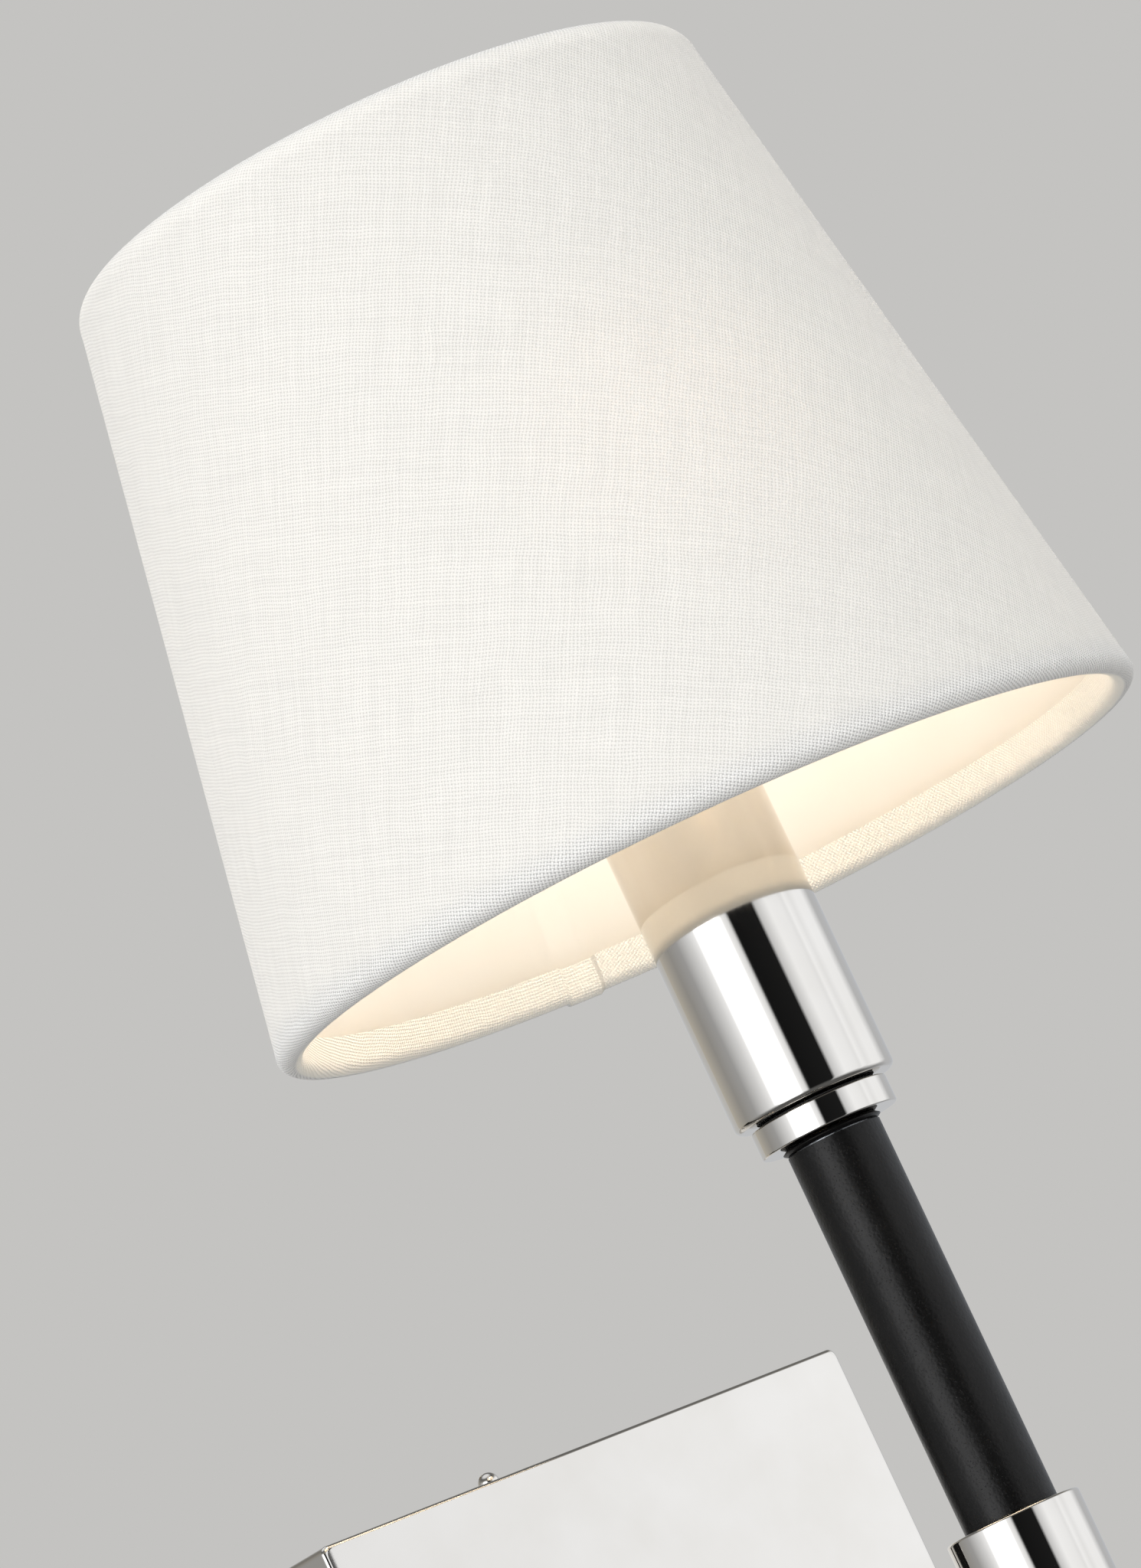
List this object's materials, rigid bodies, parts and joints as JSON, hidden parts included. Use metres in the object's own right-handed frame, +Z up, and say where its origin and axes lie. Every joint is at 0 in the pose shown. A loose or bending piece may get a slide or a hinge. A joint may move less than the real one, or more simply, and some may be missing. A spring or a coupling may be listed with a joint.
{
  "type": "wall lamp",
  "caption": "Wall lamp with a deep square back plate, a short arm, a leather-wrapped stem and a tapered fabric shade on a candle socket.",
  "frame": {"origin": "centre of the back plate in its wall face", "axes": "+Z up along the stem, +Y into the wall, -Y out to the room, +X to the right seen from the room"},
  "size_m": [0.1794, 0.2362, 0.3785],
  "materials": {
    "nickel": "polished nickel plate",
    "zinc_steel": "zinc-plated steel",
    "green_screw": "green-dipped screw",
    "green_lead": "insulated lead",
    "black_lead": "insulated lead",
    "white_lead": "insulated lead",
    "black_cap": "moulded cap",
    "white_cap": "moulded cap",
    "brass": "plain brass",
    "leather": "black smooth-grain leather, satin",
    "black_fibre": "black fibre washer",
    "phenolic": "black phenolic",
    "bulb_metal": "nickel-plated screw cap",
    "black_glass": "vitrified insulator",
    "frosted_glass": "frosted, lit warm white",
    "linen": "white plain-weave linen",
    "liner": "cream styrene",
    "hoop_wire": "white-painted steel wire"
  },
  "bodies": {
    "frame": {"backplate": "nickel", "mounting_bracket": "zinc_steel", "ground_screw": "green_screw", "ground_wire": "green_lead", "ring_terminal": "zinc_steel", "arm_locknut": "zinc_steel", "arm_nipple": "brass", "arm_tube": "nickel", "arm_flange": "nickel", "hub": "nickel", "bottom_cap": "nickel", "stem_core": "zinc_steel", "leather_wrap": "leather", "leather_lip": "leather", "upper_ring": "nickel", "neck_washer": "black_fibre", "lamp_pipe": "brass", "socket_cup": "nickel", "cup_lockwasher": "zinc_steel", "cup_locknut": "zinc_steel", "socket_body": "phenolic", "screw_shell": "brass", "center_contact": "brass", "wire_black": "black_lead", "wire_white": "white_lead", "wire_nut_black": "black_cap", "wire_nut_white": "white_cap"},
    "shade": {"shade_fabric": "linen", "bottom_hem": "linen", "top_hem": "linen", "shade_liner": "liner", "top_wire": "hoop_wire", "bottom_wire": "hoop_wire", "spider": "hoop_wire"},
    "clamp_ring": {"shade_ring": "phenolic"},
    "bulb": {"bulb_glass": "frosted_glass", "bulb_base": "bulb_metal", "bulb_insulator": "black_glass", "bulb_tip": "bulb_metal"},
    "top_screw": {"cap_screw_top": "nickel"},
    "bottom_screw": {"cap_screw_bottom": "nickel"}
  },
  "joints": [
    {"name": "shade_turn", "type": "hinge", "parent": "frame", "child": "shade", "pos_m": [0, -0.1465, 0.17], "axis": [0, 0, 1], "continuous": true},
    {"name": "ring_turn", "type": "hinge", "parent": "frame", "child": "clamp_ring", "pos_m": [0, -0.1465, 0.175], "axis": [0, 0, 1], "range_deg": [0, 1080]},
    {"name": "bulb_turn", "type": "hinge", "parent": "frame", "child": "bulb", "pos_m": [0, -0.1465, 0.17], "axis": [0, 0, 1], "range_deg": [0, 1440]},
    {"name": "top_screw_turn", "type": "hinge", "parent": "frame", "child": "top_screw", "pos_m": [0, -0.007, 0.07], "axis": [0, 0, 1], "range_deg": [0, 2160]},
    {"name": "bottom_screw_turn", "type": "hinge", "parent": "frame", "child": "bottom_screw", "pos_m": [0, -0.007, -0.07], "axis": [0, 0, -1], "range_deg": [0, 2160]}
  ]
}
